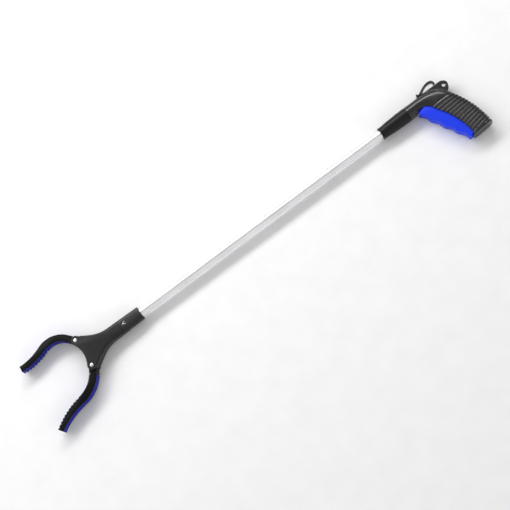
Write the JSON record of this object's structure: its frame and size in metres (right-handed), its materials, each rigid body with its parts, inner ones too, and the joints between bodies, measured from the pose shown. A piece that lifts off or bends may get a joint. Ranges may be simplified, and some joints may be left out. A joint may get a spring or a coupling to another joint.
{
  "type": "reacher grabber",
  "caption": "Hand-held reacher grabber: ribbed pistol grip with finger trigger, slim tube with internal pull rod, swivelling head and two curved toothed jaw fingers.",
  "frame": {"origin": "centre of the hang hole in the handle's tab, 3.3 mm over the tube's axis", "axes": "+X along the tube towards the back of the handle, jaws at -X; +Z across the flat of the tool, along the hang hole; the grip and trigger are at -Y"},
  "size_m": [0.8163, 0.149, 0.027],
  "materials": {
    "grip_plastic": "semi-gloss moulded black",
    "sleeve_plastic": "matt moulded black",
    "head_plastic": "satin moulded dark grey",
    "finger_plastic": "satin moulded black",
    "trigger_plastic": "satin moulded blue",
    "pad_rubber": "soft blue overmould",
    "tube_metal": "bright anodised",
    "steel": "plated",
    "spring_steel": "drawn wire",
    "rivet_steel": "polished",
    "bright_mark": "pale inlay",
    "nylon": "natural nylon"
  },
  "bodies": {
    "handle": {"handle_shell_front": "grip_plastic", "handle_shell_back": "grip_plastic", "neck_sleeve": "sleeve_plastic", "hanging_clip": "grip_plastic", "tube": "tube_metal", "tube_screw": "steel", "handle_screws": "steel", "trigger_pin": "steel", "rod_guide_rear": "nylon", "rod_guide_front": "nylon", "return_spring": "spring_steel", "swivel_collar": "head_plastic", "index_mark": "bright_mark"},
    "trigger": {"trigger": "trigger_plastic", "drive_pin": "steel"},
    "rod": {"pull_rod": "steel", "rod_clevis": "steel", "spring_collar": "nylon"},
    "head": {"head_shell_front": "head_plastic", "head_shell_back": "head_plastic", "head_screws": "steel", "swivel_spindle": "steel", "swivel_ring": "spring_steel", "friction_washer": "nylon", "finger_rivet_upper": "rivet_steel", "finger_rivet_lower": "rivet_steel"},
    "crosshead": {"crosshead": "nylon"},
    "finger_upper": {"finger_arm_upper": "finger_plastic", "finger_pad_upper": "pad_rubber", "finger_pin_upper": "steel"},
    "finger_lower": {"finger_arm_lower": "finger_plastic", "finger_pad_lower": "pad_rubber", "finger_pin_lower": "steel"}
  },
  "joints": [
    {"name": "trigger_squeeze", "type": "hinge", "parent": "handle", "child": "trigger", "pos_m": [0, -0.0873, 0], "axis": [0, 0, -1], "range_deg": [0, 7.16], "stiffness_Nm_per_rad": 6, "springref_deg": -5.73},
    {"name": "rod_slide", "type": "slide", "parent": "handle", "child": "rod", "axis": [1, 0, 0], "range_m": [0, 0.01052], "deforming": ["return_spring"]},
    {"name": "head_swivel", "type": "hinge", "parent": "handle", "child": "head", "pos_m": [-0.6174, -0.0033, 0], "axis": [1, 0, 0], "range_deg": [-90, 90]},
    {"name": "crosshead_slide", "type": "slide", "parent": "head", "child": "crosshead", "axis": [1, 0, 0], "range_m": [0, 0.01052]},
    {"name": "finger_upper_hinge", "type": "hinge", "parent": "head", "child": "finger_upper", "pos_m": [-0.6954, 0.0207, 0], "axis": [0, 0, 1], "range_deg": [0, 31.05]},
    {"name": "finger_lower_hinge", "type": "hinge", "parent": "head", "child": "finger_lower", "pos_m": [-0.6954, -0.0273, 0], "axis": [0, 0, -1], "range_deg": [0, 31.05]}
  ],
  "couplings": [
    {"joint": "rod_slide", "follows": "trigger_squeeze", "m_per_rad": 0.084057},
    {"joint": "crosshead_slide", "follows": "trigger_squeeze", "m_per_rad": 0.084057},
    {"joint": "finger_upper_hinge", "follows": "trigger_squeeze", "ratio": 4.3296},
    {"joint": "finger_lower_hinge", "follows": "trigger_squeeze", "ratio": 4.3296}
  ]
}
